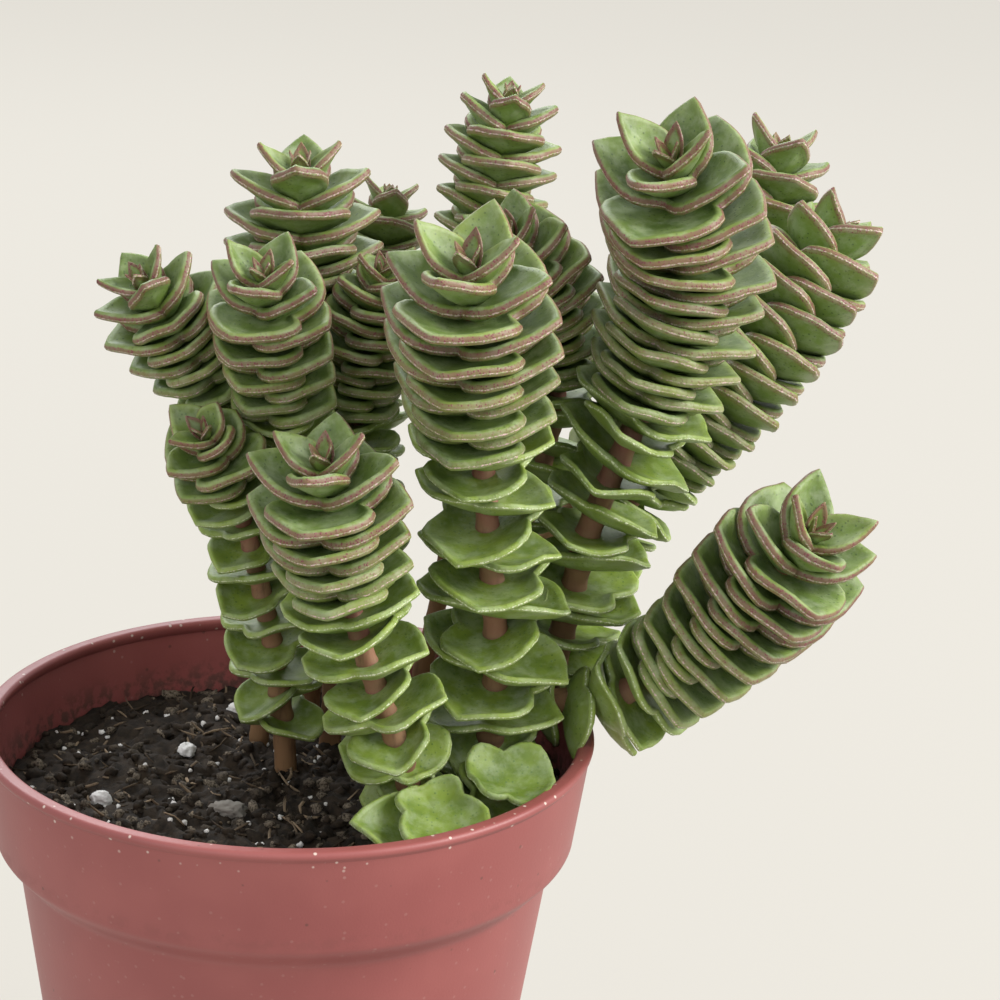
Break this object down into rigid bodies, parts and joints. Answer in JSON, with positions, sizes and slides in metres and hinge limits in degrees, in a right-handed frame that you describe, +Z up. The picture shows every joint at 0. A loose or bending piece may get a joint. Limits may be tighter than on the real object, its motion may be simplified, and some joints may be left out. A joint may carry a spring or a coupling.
{
  "type": "potted string of buttons",
  "caption": "Succulent with square-stacked fleshy leaf pairs on upright and arching shoots, in a round tapered nursery pot of soil.",
  "frame": {"origin": "centre of the pot's flat underside", "axes": "+Z up along the pot's axis, -Y towards the side that is seen first, +X towards the side the longest shoots lean over"},
  "size_m": [0.1519, 0.1339, 0.2046],
  "materials": {
    "pot_plastic": "dull terracotta-pink moulded plastic, faint specks",
    "potting_soil": "dark loose peat with fibres",
    "perlite": "white, rough, porous",
    "bark": "grey, rough",
    "stem_bark": "pink-brown, smooth above, woody below",
    "lower_leaf": "waxy mid green with a pale toothed margin",
    "crown_leaf": "waxy grey-green with a red-brown line inside a pale margin"
  },
  "bodies": {
    "root": {"pot": "pot_plastic", "soil": "potting_soil", "perlite_1": "perlite", "perlite_2": "perlite", "perlite_3": "perlite", "perlite_4": "perlite", "perlite_5": "perlite", "bark_chip": "bark", "front_tall_stem": "stem_bark", "front_tall_lower_leaves": "lower_leaf", "front_tall_crown": "crown_leaf", "front_left_stem": "stem_bark", "front_left_lower_leaves": "lower_leaf", "front_left_crown": "crown_leaf", "middle_left_stem": "stem_bark", "middle_left_lower_leaves": "lower_leaf", "middle_left_crown": "crown_leaf", "far_left_stem": "stem_bark", "far_left_lower_leaves": "lower_leaf", "far_left_crown": "crown_leaf", "low_left_stem": "stem_bark", "low_left_lower_leaves": "lower_leaf", "low_left_crown": "crown_leaf", "back_left_stem": "stem_bark", "back_left_lower_leaves": "lower_leaf", "back_left_crown": "crown_leaf", "back_slim_stem": "stem_bark", "back_slim_lower_leaves": "lower_leaf", "back_slim_crown": "crown_leaf", "middle_slim_stem": "stem_bark", "middle_slim_lower_leaves": "lower_leaf", "middle_slim_crown": "crown_leaf", "back_tall_stem": "stem_bark", "back_tall_lower_leaves": "lower_leaf", "back_tall_crown": "crown_leaf", "back_middle_stem": "stem_bark", "back_middle_lower_leaves": "lower_leaf", "back_middle_crown": "crown_leaf", "right_big_stem": "stem_bark", "right_big_lower_leaves": "lower_leaf", "right_big_crown": "crown_leaf", "right_far_stem": "stem_bark", "right_far_lower_leaves": "lower_leaf", "right_far_crown": "crown_leaf", "right_back_stem": "stem_bark", "right_back_lower_leaves": "lower_leaf", "right_back_crown": "crown_leaf", "right_low_stem": "stem_bark", "right_low_lower_leaves": "lower_leaf", "right_low_crown": "crown_leaf"}
  },
  "joints": []
}
